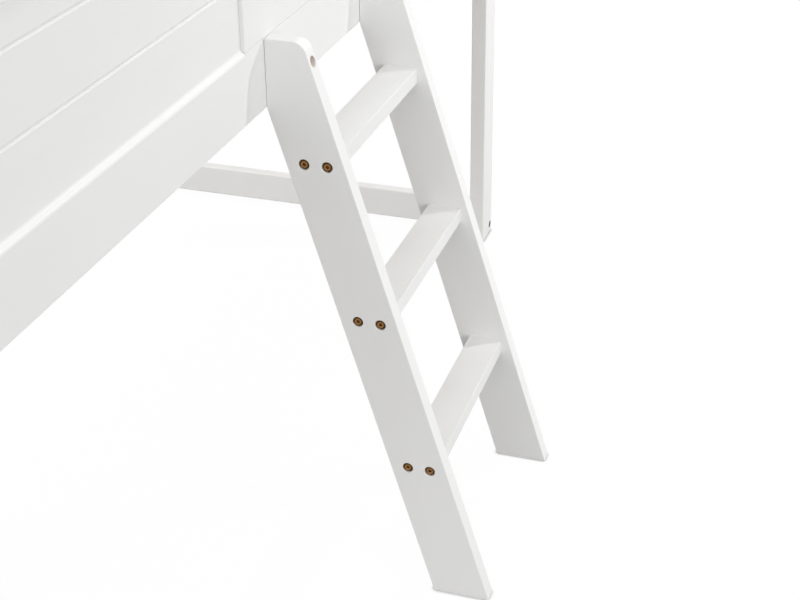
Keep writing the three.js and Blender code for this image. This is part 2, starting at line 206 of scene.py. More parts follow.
class LoftBedFinish(bpy.types.PropertyGroup):
    """Colours and gloss of the lacquer, the bare wood, the metal and the plastic, with the painted shade in
    the legs' holes and in the bolts' hollows.
    """

    lacquer: colour("Lacquer", "Colour of the white lacquer", 0.832, 0.832, 0.824)
    lacquer_thin: colour("Thin lacquer", "Colour where the lacquer is thinner", 0.826, 0.826, 0.818)
    lacquer_gloss: share("Lacquer roughness", "Roughness of the satin lacquer", 0.45)
    grain_relief: length("Grain relief", "Height of the grain that shows in the lacquer", 0.015)
    pine_light: colour("Early wood", "Colour of a growth ring's pale part", 0.72, 0.53, 0.31)
    pine_dark: colour("Late wood", "Colour of a growth ring's dark part", 0.50, 0.30, 0.13)
    pine_knot: colour("Knot", "Colour of a knot", 0.20, 0.09, 0.04)
    ring_width: length("Ring width", "Distance between growth rings", 3.2)
    bored_wood: colour("Bored wood", "Colour of the wood in a hole, dusted with lacquer", 0.88, 0.79, 0.72)
    # Painted shade: a dark colour for the walls of the legs' holes, which stands in for the shade that falls
    # in them. It is not a stain in the wood.
    stained_wood: colour("Stained wood", "Colour of the dark wood in the legs' holes", 0.12, 0.11, 0.10)
    bronze: colour("Bronze", "Colour of the bolts", 0.33, 0.18, 0.072)
    # The dark bronze is partly oxide and partly painted shade: it darkens the sockets, slots and cross
    # recesses, and a bolt head's round edge, where shade falls.
    bronze_oxide_and_shade: colour("Dark bronze", "Colour of the oxide in sockets and round heads", 0.12, 0.055, 0.015)
    bronze_gloss: share("Bronze roughness", "Roughness of the bolts", 0.38)
    cap: colour("Cap", "Colour of the white plastic caps", 0.80, 0.80, 0.79)


class LoftBedStudio(bpy.types.PropertyGroup):
    """The camera and the lights. A lamp of level 1 alone shows a colour at the ladder as it is written."""

    camera: place("Camera", "Where the camera stands", -1.9793, -1.1009, 1.5320)
    camera_yaw: degrees("Camera yaw", "Direction of view, from +X towards +Y", 16.63)
    camera_pitch: degrees("Camera pitch", "How far the camera looks down", 25.3)
    camera_roll: degrees("Camera roll", "Turn of the camera about its line of sight", 0.07)
    camera_lens: bpy.props.FloatProperty(
        name="Lens", description="Focal length on a sensor 36 mm wide", default=68.1, unit="CAMERA")
    camera_shift: bpy.props.FloatVectorProperty(
        name="Shift", description="Shift that the photograph's crop needs",
        default=(-0.0468, -0.1184), size=2)
    sky_level: share("Sky level", "Even light from all round", 0.32, 2.0)
    key_level: share("Key level", "Small lamp that casts the crisp shadows", 0.28, 2.0)
    key: place("Key lamp", "Where the small lamp stands", 1.6, -2.2, 1.95)
    key_size: length("Key size", "Radius of the small lamp", 20.0)
    overhead_level: share("Overhead level", "Large soft lamp over the ladder", 0.32, 2.0)
    overhead: place("Overhead lamp", "Where the large lamp's middle is", 0.0, -0.8, 4.2)
    overhead_size: length("Overhead size", "Width and length of the large lamp", 2400.0)
    fill_level: share("Fill level", "Low soft lamp in front of the ladder", 0.07, 2.0)
    fill: place("Fill lamp", "Where the low lamp's middle is", 0.2, -2.4, 0.5)
    fill_size: length("Fill size", "Width and height of the low lamp", 800.0)
    front_left_level: share("Front left level", "Low wide light from the front left", 0.384, 2.0)
    front_left: place("Front left light", "Where it comes from, seen from the bed", -0.489, -0.847, 0.208)
    left_level: share("Left level", "Low wide light from the left", 0.19, 2.0)
    left: place("Left light", "Where it comes from, seen from the bed", -0.978, 0.0, 0.208)
    back_left_level: share("Back left level", "Wide light from the back left", 0.229, 2.0)
    back_left: place("Back left light", "Where it comes from, seen from the bed", -0.612, 0.612, 0.5)
    back_level: share("Back level", "High wide light from behind", 0.29, 2.0)
    back: place("Back light", "Where it comes from, seen from the bed", -0.087, 0.492, 0.866)
    right_level: share("Right level", "Low wide light from the right", 0.2, 2.0)
    right: place("Right light", "Where it comes from, seen from the bed", 0.966, 0.0, 0.259)
    light_width: degrees("Light width", "How wide each of the far lights looks from the bed", 30.0)
    aim: place("Aim", "What the lamps point at", 0.0, -0.4, 0.7)
    floor: colour("Floor", "Colour of the pale floor", 0.35, 0.35, 0.35)
    floor_shadow: share("Floor shadow", "Share of the floor's shading that the camera sees", 0.035)
    contact: length("Contact shadow", "Width of the dark line round a foot", 8.0)
    contact_shade: share("Contact shade", "How dark the floor is right at a foot", 0.45)
    floor_size: length("Floor size", "Width and length of the floor", 40000.0)


def corners_of(node):
    """The lowest and highest corners of a frame node's box."""
    return np.array(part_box(node))


def centre_of(node):
    """The middle of a frame node's box."""
    return corners_of(node).mean(axis=0)


def edge_of(node, side):
    """Where a frame node's box ends on one side."""
    toward = np.array(OUTWARD[side])
    return (corners_of(node) @ toward).max() * toward.sum()


def left_of(vectors):
    """Plane vectors turned a quarter turn to the left."""
    return np.stack([-vectors[..., 1], vectors[..., 0]], axis=-1)


def round_corners(corners, radii, steps=EDGE_STEPS):
    """A closed outline with an arc at each corner.

    Where it turns by t, both edges are cut back by radius tan(t / 2), and a spoke one radius long turns
    evenly by t about the arc's centre. A corner of no radius stays sharp.
    """
    corners = np.asarray(corners, float)
    radii = np.broadcast_to(np.asarray(radii, float), len(corners))
    steps = np.broadcast_to(steps, len(corners))
    arriving = corners - np.roll(corners, 1, axis=0)
    arriving /= np.linalg.norm(arriving, axis=1, keepdims=True)
    leaving = np.roll(arriving, -1, axis=0)
    turn = np.arctan2((left_of(arriving) * leaving).sum(axis=1), (arriving * leaving).sum(axis=1))
    inward = left_of(arriving) * np.sign(turn)[:, None]
    start = corners - arriving * (radii * np.tan(np.abs(turn) / 2))[:, None]
    centre = start + inward * radii[:, None]
    owner = np.repeat(np.arange(len(corners)), steps + 1)
    first = np.cumsum(steps + 1) - (steps + 1)
    angle = turn[owner] * (np.arange(len(owner)) - first[owner]) / steps[owner]
    spoke = -inward[owner] * radii[owner, None]
    points = centre[owner] + spoke * np.cos(angle)[:, None] + left_of(spoke) * np.sin(angle)[:, None]
    apart = np.linalg.norm(points - np.roll(points, 1, axis=0), axis=1)
    return points[apart > SAME_PLACE]


def inward_moves(outline):
    """The moves that draw an anticlockwise outline's edges in by one.

    Each is the sum of a point's two inward normals, divided by one plus their product.
    """
    edge = np.roll(outline, -1, axis=0) - outline
    normal = left_of(edge / np.linalg.norm(edge, axis=1, keepdims=True))
    before = np.roll(normal, 1, axis=0)
    return (normal + before) / (1 + (normal * before).sum(axis=1))[:, None]


def carried(outline, axis, low, high, end_radius):
    """A closed outline carried straight along an axis, as rings of points.

    At radius (1 - cos a) from either end it is drawn in by radius (1 - sin a), for a from nothing to a
    quarter turn. The radius is one number, or one for each point of the outline.
    """
    radius = np.broadcast_to(end_radius, len(outline))
    x, y = outline.T
    if (x * np.roll(y, -1) - y * np.roll(x, -1)).sum() < 0:
        outline, radius = outline[::-1], radius[::-1]
    angle = np.linspace(0, QUARTER, EDGE_STEPS + 1)[:, None]
    drawn_in = radius * (1 - np.sin(angle))
    inset = radius * (1 - np.cos(angle))
    drawn_in = np.concatenate([drawn_in, drawn_in[::-1]])
    rings = np.empty((*drawn_in.shape, 3))
    rings[..., ACROSS[axis]] = outline + drawn_in[..., None] * inward_moves(outline)
    rings[..., ALONG[axis]] = np.concatenate([low + inset, high - inset[::-1]])
    return rings, 0


def arc(radius, height, size, start, stop, steps=4):
    """Profile rows on an arc about (radius, height), between two angles in degrees from outwards."""
    angle = np.radians(np.linspace(start, stop, steps + 1))
    return np.stack([radius + size * np.cos(angle), height + size * np.sin(angle), 0 * angle], axis=1)


def hexagon_reach(angle):
    """Reach of a hexagon over half its width: 1 / cos of the angle from the nearest flat."""
    return 1 / np.cos(np.mod(angle, math.pi / 3) - math.pi / 6)


def cross_reach(angle):
    """Reach of a cross recess over its arms' length: a high power of cos."""
    waist = 0.42
    return waist + (1 - waist) * np.cos(2 * angle) ** 4


def slot_reach(angle):
    """Reach of a slot over half its length: the nearer of its end and its side."""
    width = 0.2
    return np.minimum(1, width / np.maximum(np.abs(np.sin(angle)), SAME_PLACE))


def turned(profile, mouth, way, sides=ROUND_SIDES, recess_reach=hexagon_reach):
    """A turned form, as rings of points about the line straight out of the wood at its mouth.

    The profile lists radius, height over the mouth, and how far the ring keeps to the recess's shape: from 0,
    a circle, to 1, where the radius is multiplied by the shape's reach at each angle.
    """
    radius, height, shaped = np.asarray(profile, float).T[..., None]
    angle = np.linspace(0, 2 * math.pi, sides, endpoint=False)
    reach = radius * (1 + shaped * (recess_reach(angle) - 1))
    out = np.array(OUTWARD[way], float)
    aside = np.cross((1, 0, 0) if way == "up" else (0, 0, 1), out)
    circle = np.cos(angle)[:, None] * aside + np.sin(angle)[:, None] * np.cross(out, aside)
    return np.asarray(mouth, float) + reach[..., None] * circle + height[..., None] * out


def skin_of(shells):
    """Points, faces and material numbers of closed shells, each of rings of points and a number per strip.

    The strips join one ring to the next, and one face closes each end.
    """
    points, faces, numbers = [], [], []
    start = 0
    for rings, strips in shells:
        count, sides = rings.shape[:2]
        strips = np.broadcast_to(strips, count - 1)
        index = start + np.arange(count * sides).reshape(count, sides)
        after = np.roll(index, -1, axis=1)
        quads = np.stack([index[:-1], after[:-1], after[1:], index[1:]], axis=-1)
        faces += quads.reshape(-1, 4).tolist() + [index[0, ::-1].tolist(), index[-1].tolist()]
        numbers += np.repeat(strips, sides).tolist() + [int(strips[0]), int(strips[-1])]
        points.append(rings.reshape(-1, 3))
        start += count * sides
    return np.concatenate(points), faces, numbers


def new_object(name, shells, materials):
    """A mesh object of closed shells, with points in one place merged and every face turned outwards."""
    points, faces, numbers = skin_of(shells)
    mesh = bpy.data.meshes.new(name)
    mesh.from_pydata(points.tolist(), [], faces)
    mesh.polygons.foreach_set("material_index", numbers)
    for material in materials:
        mesh.materials.append(material)
    work = bmesh.new()
    work.from_mesh(mesh)
    bmesh.ops.remove_doubles(work, verts=work.verts, dist=SAME_PLACE)
    bmesh.ops.recalc_face_normals(work, faces=work.faces)
    work.to_mesh(mesh)
    work.free()
    return linked(name, mesh)


def linked(name, data):
    """A new object in the scene."""
    made = bpy.data.objects.new(name, data)
    bpy.context.scene.collection.objects.link(made)
    return made


def combine(piece, other, operation):
    """Joins the other object to a piece, or cuts it out."""
    step = piece.modifiers.new("joinery", "BOOLEAN")
    step.operation = operation
    step.solver = "EXACT"
    step.material_mode = "INDEX"
    step.object = other
    bpy.context.view_layer.update()
    whole = piece.data
    piece.data = bpy.data.meshes.new_from_object(piece.evaluated_get(bpy.context.evaluated_depsgraph_get()))
    piece.modifiers.clear()
    bpy.data.meshes.remove(whole)
    piece.data.name = piece.name
    bpy.data.meshes.remove(other.data)


def finish_piece(piece, nodes=()):
    """Shades a piece, lets it ride on the bed, and hides the frame nodes that it stands for."""
    piece.data.shade_smooth()
    piece.data.set_sharp_from_angle(angle=SMOOTH_ANGLE)
    weights = piece.modifiers.new("flat faces stay flat", "WEIGHTED_NORMAL")
    weights.keep_sharp = True
    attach(piece, "root")
    if nodes:
        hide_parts(*nodes)


def add_board(node, shells, wood):
    """The finished board for a frame node: its shells joined, less the holes for its fixings."""
    # A leg's holes take the dark colour that paints the shade in them; the other boards' holes take the pale
    # bored wood.
    woods = [wood, bored_wood("stained_wood" if node.endswith("_leg") else "bored_wood")]
    piece = new_object(f"{node}_finished", shells[:1], woods)
    for shell in shells[1:]:
        combine(piece, new_object(f"{node}_part", [shell], woods), "UNION")
    bores = bores_in(node)
    if bores:
        combine(piece, new_object(f"{node}_bores", bores, woods), "DIFFERENCE")
    finish_piece(piece, [node])


def add_plain_board(node, axis, edge, end_radius, reach=0):
    """A lacquered board of rectangular section."""
    add_board(node, [plain_shell(node, axis, edge, end_radius, reach)], lacquered(axis))


def plain_shell(node, axis, edge, end_radius, reach=0):
    """A board of rectangular section that fills its node's box, or is longer by the reach at both ends."""
    (a, c), (b, d) = corners_of(node)[:, ACROSS[axis]]
    low, high = corners_of(node)[:, ALONG[axis]]
    outline = round_corners([(a, c), (b, c), (b, d), (a, d)], edge)
    return carried(outline, axis, low - reach, high + reach, end_radius)


def side_shell(side, node, rows, end_radius):
    """A board along one side of the bed, from rows of its section.

    Each row holds a corner's depth behind the rails' outer faces, its height and its radius.
    """
    rows = np.array(rows)
    axis = RAIL_AXIS[side]
    across = outer_face(side) - rows[:, 0] * sum(OUTWARD[side])
    section = np.stack([across, rows[:, 1]] if axis == "X" else [rows[:, 1], across], axis=1)
    return carried(round_corners(section, rows[:, 2]), axis, *corners_of(node)[:, ALONG[axis]], end_radius)


def outer_face(side):
    """Where the rails' outer faces lie on one side of the bed."""
    return edge_of(f"{side}_rail" if side in ROWS else f"{side}_end_rail", side)


def depths_of(side, node):
    """How far a board's two faces lie behind the rails' outer faces on its side of the bed."""
    return np.sort(np.abs(corners_of(node)[:, int(side in ROWS)] - outer_face(side)))


def grooved_rail(sizes, side, node, up):
    """A rail with the groove that holds a tongue, in its top or its bottom.

    The section is a rounded rectangle with a notch a little wider and deeper than the tongue. Under a guard
    panel the outer edge is the lower part of a soft slope, which the panel's foot goes on with. Under the
    entry board the edge is crisp: there the section changes in one step.
    """
    low, high = corners_of(node)[:, 2]
    thick = depths_of(side, node)[1]
    open_edge, far_edge = (high, low) if up else (low, high)
    floor = open_edge - (1 if up else -1) * (sizes.tongue_depth + sizes.tongue_play)
    half = sizes.tongue_thickness / 2 + sizes.tongue_slack
    near, far = sizes.tongue_middle - half, sizes.tongue_middle + half
    far_round, open_round = (sizes.rail_foot, sizes.rail_edge) if up else (sizes.rail_edge, sizes.rail_foot)
    rows = [
        (0, far_edge, far_round), (thick, far_edge, far_round), (thick, open_edge, open_round),
        (far, open_edge, 0), (far, floor, 0), (near, floor, 0), (near, open_edge, 0),
    ]
    field = next(name for name, lies_on in FIELDS.items() if lies_on == side)
    halfway = depths_of(side, f"{field}_panel")[0] / 2
    slope = [(halfway, open_edge, 0), (0, open_edge - sizes.slope_on_rail, sizes.slope_round)]
    outer_edge = slope if up else [(0, open_edge, open_round)]
    rings, strips = side_shell(side, node, rows + outer_edge, sizes.sawn_end)
    if node == "front_rail":
        seam = sizes.rail_seam
        rows += [(seam, open_edge, 0), (0, open_edge - seam, seam)]
        crisp, _ = side_shell(side, node, rows, sizes.sawn_end)
        soft_end, crisp_end = rings[len(rings) // 2], crisp[len(rings) // 2]
        middle = np.stack([soft_end, crisp_end, crisp_end, soft_end])
        middle[..., 0] = np.repeat(corners_of("entry_board")[:, 0], 2)[:, None]
        rings = np.insert(rings, [len(rings) // 2], middle, axis=0)
    return rings, strips


def grooved_panel(sizes, side, node):
    """A guard panel with tongues along its bottom and top, and V grooves that make it look like boards.

    Each groove is three corners: its two lips, half a width above and below its middle, and its bottom,
    closer to the lower lip. The panel's foot is the upper part of the soft slope that starts on the rail.
    """
    low, high = corners_of(node)[:, 2]
    near, far = depths_of(side, node)
    thin_near = sizes.tongue_middle - sizes.tongue_thickness / 2
    thin_far = thin_near + sizes.tongue_thickness
    bottom, top = low + sizes.tongue_depth, high - sizes.tongue_depth
    crisp = sizes.sawn_end / 2
    rows = [
        (thin_near, bottom, 0), (thin_near, low, crisp), (thin_far, low, crisp), (thin_far, bottom, 0),
        (far, bottom, 0), (far, top, 0), (thin_far, top, 0), (thin_far, high, crisp),
        (thin_near, high, crisp), (thin_near, top, 0), (near, top, 0),
    ]
    half, lip = sizes.groove_width / 2, sizes.groove_lip
    lean = half - sizes.groove_width * sizes.groove_lean
    for middle in np.arange(bottom + sizes.groove_pitch, top - sizes.groove_width, sizes.groove_pitch)[::-1]:
        bottom_corner = (near + sizes.groove_depth, middle + lean, sizes.groove_round)
        rows += [(near, middle + half, lip), bottom_corner, (near, middle - half, lip)]
    rows += [(near, bottom + sizes.slope_on_panel, sizes.slope_round), (near / 2, bottom, 0)]
    return side_shell(side, node, rows, sizes.panel_end)


def entry_shells(sizes):
    """The entry board: a plank over the rail with a round-cornered dip to climb in through, and its tongue.

    Its bottom and sides meet other boards, so their edges are crisper than those of its top and its dip.
    """
    low, high = corners_of("entry_board")
    bottom = edge_of("front_rail", "up")
    sill = bottom + sizes.sill_height
    half = sizes.dip_width / 2
    rim, crisp = sizes.dip_edge * ROUNDER, sizes.joint_edge * ROUNDER
    rows = np.array([
        (bottom, low[0], crisp), (bottom, high[0], crisp), (high[2], high[0], rim),
        (high[2], half, sizes.horn_radius), (sill, half, sizes.dip_radius), (sill, -half, sizes.dip_radius),
        (high[2], -half, sizes.horn_radius), (high[2], low[0], rim),
    ])
    outline = round_corners(rows[:, :2], rows[:, 2], np.where(rows[:, 2] > rim, CURVE_STEPS, EDGE_STEPS))
    height, across = outline.T
    beside = np.abs(across) > half + sizes.horn_radius
    jointed = (height < bottom + rim) | ((height < high[2] - rim) & beside)
    plank = carried(outline, "Y", low[1], high[1], np.where(jointed, sizes.joint_edge, sizes.dip_edge))
    near = low[1] + sizes.tongue_middle - sizes.tongue_thickness / 2
    far, top = near + sizes.tongue_thickness, bottom + sizes.dip_edge * 2
    section = round_corners([(near, low[2]), (far, low[2]), (far, top), (near, top)], sizes.sawn_end)
    return [plank, carried(section, "X", low[0] + rim, high[0] - rim, sizes.sawn_end / 2)]


def stringer_shell(sizes, node):
    """A slanted stringer with a level foot, an upright cut against the rail and a round top front corner."""
    low, high = corners_of(node)
    rail_low = corners_of("front_rail")[0]
    slope = math.tan(sizes.ladder_angle)
    back_foot = rail_low[1] - rail_low[2] * slope
    cut_start = rail_low[2] - (rail_low[1] - high[1]) / slope
    edge = sizes.ladder_edge * ROUNDER
    rows = np.array([
        (low[1], low[2], edge), (back_foot, low[2], edge), (high[1], cut_start, edge),
        (high[1], high[2], edge), (low[1] + high[2] * slope, high[2], sizes.ladder_top),
    ])
    outline = round_corners(rows[:, :2], rows[:, 2], np.where(rows[:, 2] > edge, CURVE_STEPS, EDGE_STEPS))
    return carried(outline, "X", low[0], high[0], sizes.ladder_edge)


def frame_bolt(name, way, sunk, boards):
    """A bolt that the frame holds. Its box ends at its head, which is sunk below the mouth of its hole."""
    out = np.array(OUTWARD[way])
    reach = np.ptp(corners_of(name) @ out)
    return Fixing(name, centre_of(name) + out * (reach / 2 + sunk), way, sunk, reach, boards)


def ladder_bolts(sizes):
    """The bolts of the treads, and those that hold the stringers to the rail."""
    made = []
    for hand in HANDS:
        stringer = f"{hand}_stringer"
        for tread, row in product(TREADS, ROWS):
            name = f"tread_{tread}_{hand}_{row}_bolt"
            made.append(frame_bolt(name, hand, sizes.tread_bolt_sunk, [stringer, f"tread_{tread}"]))
        boards = [stringer, "front_rail"]
        made.append(frame_bolt(f"{hand}_ladder_bolt", "front", sizes.ladder_bolt_sunk, boards))
    return made


def leg_bolts(sizes):
    """The bolts through the legs' wide faces, into the three rails at each end of the bed."""
    made = []
    for row, hand in product(ROWS, HANDS):
        leg = f"{row}_{hand}_leg"
        low_bolt = frame_bolt(f"{leg}_bolt", row, sizes.leg_bolt_sunk, [leg, f"{hand}_floor_rail"])
        made.append(low_bolt)
        for rail, offset in ((f"{hand}_end_rail", 0), (f"{hand}_end_top_rail", sizes.top_offset)):
            mouth = np.append(low_bolt.mouth[:2], centre_of(rail)[2] + offset)
            made.append(low_bolt._replace(name=f"{row}_{rail}_bolt", mouth=mouth, boards=[leg, rail]))
    return made


def side_top_rail(row, hand):
    """The guard's top rail that ends at a leg, along the bed."""
    return "back_guard_top_rail" if row == "back" else f"front_{hand}_guard_top_rail"


def leg_caps(sizes):
    """The caps on the legs' outer faces, over the bolts of the side rails and top rails."""
    made = []
    for row, hand in product(ROWS, HANDS):
        leg = f"{row}_{hand}_leg"
        _, y, middle = centre_of(f"{row}_rail")
        heights = {
            "low": middle - sizes.cap_spacing / 2, "middle": middle + sizes.cap_spacing / 2,
            "high": centre_of(side_top_rail(row, hand))[2] - sizes.top_offset,
        }
        for level, height in heights.items():
            mouth = (edge_of(leg, hand), y, height)
            made.append(Fixing(f"{leg}_{level}_cap", mouth, hand, 0, sizes.cap_depth, [leg]))
    return made


def nut_in(sizes, rail, side, end, height):
    """A barrel nut in the inner face of a rail on one side of the bed, close to the rail's end."""
    inward = OPPOSITE[side]
    mouth = sum(edge_of(rail, way) * np.abs(OUTWARD[way]) for way in (inward, end))
    mouth = mouth - sizes.nut_setback * np.array(OUTWARD[end]) + (0, 0, height)
    return Fixing("nut", mouth, inward, 0, sizes.nut_depth, [rail])


def barrel_nuts(sizes):
    """The nuts that the legs' bolts and those under the caps screw into."""
    made = []
    for bolt in leg_bolts(sizes):
        rail = bolt.boards[1]
        made.append(nut_in(sizes, rail, rail.split("_")[0], bolt.way, bolt.mouth[2]))
    for cap in leg_caps(sizes):
        row, hand, _, level, _ = cap.name.split("_")
        if level != "low":
            rail = f"{row}_rail" if level == "middle" else side_top_rail(row, hand)
            made.append(nut_in(sizes, rail, row, hand, cap.mouth[2]))
    return made


def spread(low, high, setback, pitch):
    """Evenly spaced places between two ends, set back from both, at most a pitch apart."""
    room = high - low - 2 * setback
    return np.linspace(low + setback, high - setback, int(math.ceil(room / pitch)) + 1)


def slat_screws(sizes):
    """Two screws at each end of each slat, down into the ledgers."""
    made = []
    for slat, row, half in product(SLATS, ROWS, (-0.5, 0.5)):
        x, y = centre_of(slat)[0] + half * sizes.slat_screws, centre_of(f"{row}_ledger")[1]
        made.append(Fixing("screw", (x, y, edge_of(slat, "up")), "up", 0, sizes.screw_length, [slat]))
    return made


def joint_screws(sizes):
    """The screws through the ledgers into the side rails, and through the battens into the guard."""
    made = []
    for row in ROWS:
        node, way = f"{row}_ledger", OPPOSITE[row]
        for x in spread(*corners_of(node)[:, 0], sizes.screw_setback, sizes.screw_pitch):
            mouth = (x, edge_of(node, way), centre_of(node)[2])
            made.append(Fixing("screw", mouth, way, 0, sizes.screw_length, [node]))
    for hand in HANDS:
        node = f"entry_{hand}_batten"
        (left, _, low), (right, back, high) = corners_of(node)
        for z in spread(low, high, sizes.screw_setback, sizes.screw_pitch / 2):
            for x in left + (right - left) * np.array([sizes.batten_screws, 1 - sizes.batten_screws]):
                made.append(Fixing("screw", (x, back, z), "back", 0, sizes.screw_length, [node]))
    return made


def bolt_bore(sizes, bolt):
    """The cutter for a bolt: a chamfered mouth, a wide hole to the head's seat and a narrow one beyond.

    In a slanted edge there is no chamfer, because a level cone would bite deep on one side.
    """
    wide, narrow = sizes.hole / 2, sizes.shank / 2 + sizes.clearance
    rim, flare = (0, 0) if bolt.sunk == sizes.ladder_bolt_sunk else (sizes.rim, sizes.hole)
    seat, foot = -bolt.sunk - sizes.clearance - np.array([sizes.head_height, bolt.length])
    profile = [
        (wide + rim + flare, sizes.hole, 0), (wide, -rim, 0), (wide, seat, 0), (narrow, seat, 0),
        (narrow, foot, 0),
    ]
    return turned(profile, bolt.mouth, bolt.way), [0, 1, 1, 1]


def round_bore(sizes, fixing):
    """The cutter for a cap or a barrel nut: a plain hole with a chamfered mouth."""
    wide = ((sizes.nut if fixing.name == "nut" else sizes.cap) + sizes.clearance) / 2
    mouth = (wide + sizes.rim + sizes.hole, sizes.hole, 0)
    profile = [mouth, (wide, -sizes.rim, 0), (wide, -fixing.length, 0)]
    return turned(profile, fixing.mouth, fixing.way), [0, 1]


def screw_bore(sizes, screw):
    """The cutter for a screw: a countersink at 45 degrees and a straight hole."""
    wide, narrow = sizes.screw / 2 + sizes.clearance / 2, sizes.screw / 4 + sizes.clearance
    foot = -screw.length - sizes.clearance
    profile = [(wide + sizes.hole, sizes.hole, 0), (narrow, narrow - wide, 0), (narrow, foot, 0)]
    return turned(profile, screw.mouth, screw.way, SMALL_SIDES), 1


def bores_in(node):
    """The cutters for every fixing that reaches into a board."""
    sizes = bpy.context.scene.loft_bed_fixings
    kinds = [
        (bolt_bore, ladder_bolts(sizes) + leg_bolts(sizes)),
        (round_bore, leg_caps(sizes) + barrel_nuts(sizes)),
        (screw_bore, slat_screws(sizes) + joint_screws(sizes)),
    ]
    return [bore(sizes, fixing) for bore, fixings in kinds for fixing in fixings if node in fixing.boards]


def bolt_form(sizes, bolt):
    """A bolt with a round head, a hexagon socket and a plain shank.

    The profile runs from the socket's pointed bottom to the shank's tip. Only the flat of the head, in strips
    3 and 4, keeps the plain bronze; the socket, the round edge and the rest take the dark bronze, which is
    partly oxide and partly painted shade.
    """
    top, seat, tip = -bolt.sunk, -bolt.sunk - sizes.head_height, -bolt.sunk - bolt.length
    floor = top - sizes.socket_depth
    flat, lead = sizes.socket / 2, sizes.socket / 14
    head, shank, edge = sizes.head / 2, sizes.shank / 2, sizes.head_edge
    profile = np.concatenate([
        [(flat / 5, floor - flat / 3, 0), (flat * 0.9, floor, 0), (flat, floor, 1), (flat, top - lead, 1)],
        [(flat * hexagon_reach(0) + lead, top, 0)],
        arc(head - edge, top - edge, edge, 90, 0),
        arc(head - edge / 2, seat + edge / 2, edge / 2, 0, -90, steps=2),
        [(shank, seat, 0), (shank, tip + shank / 3, 0), (shank * 2 / 3, tip, 0)],
    ])
    strip = np.arange(len(profile) - 1)
    return turned(profile, bolt.mouth, bolt.way), ((strip < 3) | (strip > 4)).astype(int)


def cap_form(sizes, cap):
    """A plastic cap: a dome just below the wood, which falls with the square of the radius, and a skirt."""
    rim, edge, below = sizes.cap / 2 - sizes.clearance / 2, sizes.cap_edge, 0.1 * MM
    radius = np.linspace(rim / 12, rim - edge, 8)
    height = -below - sizes.cap_crown * (radius / rim) ** 2
    profile = np.concatenate([
        np.stack([radius, height, np.zeros_like(radius)], axis=1),
        arc(rim - edge, height[-1] - edge, edge, 75, 0),
        [(rim, -cap.length + sizes.clearance, 0)],
    ])
    return turned(profile, cap.mouth, cap.way), 0


def nut_form(sizes, nut):
    """A barrel nut's end: a flat round face with a slot, a little below the wood."""
    rim, slot, top = sizes.nut / 2, sizes.nut * 0.38, -2 * sizes.clearance
    edge, slot_depth = 0.5 * MM, 1.6 * MM
    profile = np.concatenate([
        [(slot * 0.9, top - slot_depth, 1), (slot, top, 1)],
        arc(rim - edge, top - edge, edge, 90, 0),
        [(rim, -nut.length + sizes.clearance, 0)],
    ])
    return turned(profile, nut.mouth, nut.way, recess_reach=slot_reach), [1] + [0] * (len(profile) - 2)


def screw_form(sizes, screw):
    """A countersunk screw with a cross recess."""
    wide, narrow, top = sizes.screw / 2, sizes.screw / 4, -sizes.clearance
    lip = wide / 10
    profile = [
        (wide * 0.2, top - wide * 0.7, 1), (wide * 0.62, top, 1), (wide - lip / 2, top, 0),
        (wide, top - lip, 0), (narrow, top - lip - wide + narrow, 0), (narrow, -screw.length, 0),
    ]
    return turned(profile, screw.mouth, screw.way, SMALL_SIDES, cross_reach), [1, 0, 0, 0, 0]


def feed(tree, node, inputs):
    """Links or sets a node's inputs: another node's output is linked, and anything else is a value."""
    for socket, value in inputs.items():
        if isinstance(value, bpy.types.NodeSocket):
            tree.links.new(value, node.inputs[socket])
        else:
            node.inputs[socket].default_value = value


def add_node(tree, kind, inputs, **settings):
    """Adds a shader node and feeds its inputs."""
    made = tree.nodes.new(f"ShaderNode{kind}")
    for key, value in settings.items():
        setattr(made, key, value)
    feed(tree, made, inputs)
    return made


def math_node(tree, operation, *values):
    """The result of a calculation on one, two or three numbers."""
    return add_node(tree, "Math", dict(enumerate(values)), operation=operation).outputs[0]


def vector_node(tree, operation, *values):
    """The result of a calculation on vectors."""
    return add_node(tree, "VectorMath", dict(enumerate(values)), operation=operation).outputs[0]


def mixed(tree, factor, first, second):
    """A colour between two others."""
    inputs = {0: factor, 6: opaque(first), 7: opaque(second)}
    return add_node(tree, "Mix", inputs, data_type="RGBA").outputs[2]


def opaque(value):
    """A colour with its alpha, or a socket as it is."""
    return value if isinstance(value, bpy.types.NodeSocket) else (*value, 1.0)


def ranged(tree, value, low, high, to_low, to_high):
    """A number carried smoothly from one range to another."""
    inputs = {0: value, 1: low, 2: high, 3: to_low, 4: to_high}
    return add_node(tree, "MapRange", inputs, interpolation_type="SMOOTHSTEP").outputs[0]


def grain(tree, feature, detail=2.0, roughness=0.5, turn=(0, 0, 0)):
    """Soft noise whose features have a size in millimetres, turned so that long ones run along the fibres."""
    start = add_node(tree, "TexCoord", {}).outputs["Object"]
    inputs = {"Vector": start, "Rotation": turn, "Scale": [size * MM for size in feature]}
    space = add_node(tree, "Mapping", inputs, vector_type="TEXTURE").outputs[0]
    return noise(tree, space, detail, roughness)[0]


def noise(tree, space, detail=2.0, roughness=0.5):
    """Soft noise with one feature to each unit of its space, as a number and as a colour."""
    inputs = {"Vector": space, "Scale": 1.0, "Detail": detail, "Roughness": roughness}
    return add_node(tree, "TexNoise", inputs).outputs


def relief(tree, height, depth):
    """A bump whose full height is the given depth."""
    return add_node(tree, "Bump", {"Height": height, "Distance": depth, "Strength": 1.0}).outputs[0]


def material_once(name, shade, *values):
    """The material of that name, made by the first call, with the shader inputs that a function works out."""
    if name not in bpy.data.materials:
        material = bpy.data.materials.new(name)
        material.use_nodes = True
        tree = material.node_tree
        feed(tree, tree.nodes["Principled BSDF"], shade(tree, *values))
    return bpy.data.materials[name]


